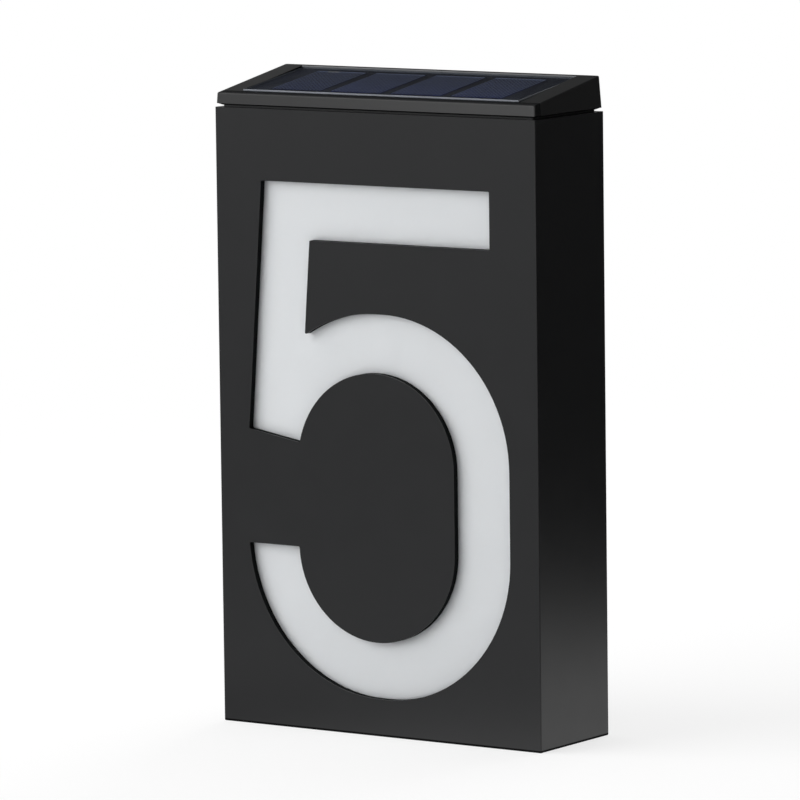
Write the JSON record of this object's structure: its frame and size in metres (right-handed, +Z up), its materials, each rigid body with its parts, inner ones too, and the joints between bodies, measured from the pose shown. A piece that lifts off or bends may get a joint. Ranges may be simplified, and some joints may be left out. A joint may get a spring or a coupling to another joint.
{
  "type": "illuminated house number sign",
  "caption": "Solar house number light: upright dark box with a cut-out numeral over an opal sheet, and a lift-off sloping cap that holds the solar panel, battery, lamps and switch.",
  "frame": {"origin": "centre of the bottom face, on the surface that the box stands on", "axes": "+X to the right as seen by a reader, +Y from the front face towards the wall, +Z up"},
  "size_m": [0.112, 0.036, 0.1923],
  "materials": {
    "housing": "satin anthracite, moulded",
    "back_plate": "matt black, moulded",
    "cap": "satin dark grey, moulded",
    "neck": "matt black, moulded",
    "opal": "opal white, satin",
    "reflector": "white, gloss",
    "foam": "black foam",
    "seal": "black silicone",
    "steel": "zinc plated",
    "panel_resin": "clear resin, gloss",
    "panel_black": "black board, gloss",
    "silicon": "blue-black silicon with fine fingers",
    "battery_sleeve": "plain green sleeve",
    "contact_metal": "nickel plated",
    "circuit_board": "white solder resist",
    "lamp": "white package with yellow phosphor",
    "clear_lens": "clear, gloss",
    "chip": "black epoxy",
    "copper": "enamelled copper",
    "can": "bright can",
    "knob": "black nylon",
    "wire_red": "red insulation",
    "wire_black": "black insulation"
  },
  "bodies": {
    "housing": {"housing_shell": "housing", "back_plate": "back_plate", "back_screws": "steel", "diffuser": "opal", "reflector_tray": "reflector", "foam_pads": "foam"},
    "cap_module": {"cap_shell": "cap", "panel_cover": "panel_resin", "panel_board": "panel_black", "panel_adhesive": "seal", "solar_cell_1": "silicon", "solar_cell_2": "silicon", "solar_cell_3": "silicon", "solar_cell_4": "silicon", "module_base": "neck", "neck_seal": "seal", "module_screws": "steel", "battery": "battery_sleeve", "positive_contact": "contact_metal", "negative_contact": "contact_metal", "door_hinge_pin": "steel", "led_strip": "circuit_board", "leds": "lamp", "led_lens": "clear_lens", "strip_screws": "steel", "driver_chip": "chip", "inductor": "copper", "capacitor": "can", "switch_body": "contact_metal", "switch_screws": "steel", "panel_wire_red": "wire_red", "panel_wire_black": "wire_black", "battery_wire_red": "wire_red", "battery_wire_black": "wire_black"},
    "door": {"battery_door": "neck"},
    "knob": {"switch_knob": "knob"}
  },
  "joints": [
    {"name": "cap_lift", "type": "slide", "parent": "housing", "child": "cap_module", "axis": [0, 0, 1], "range_m": [0, 0.045]},
    {"name": "battery_door_hinge", "type": "hinge", "parent": "cap_module", "child": "door", "pos_m": [-0.01, -0.0058, 0.1642], "axis": [-1, 0, 0], "range_deg": [0, 95]},
    {"name": "switch_slide", "type": "slide", "parent": "cap_module", "child": "knob", "axis": [1, 0, 0], "range_m": [0, 0.002]}
  ]
}
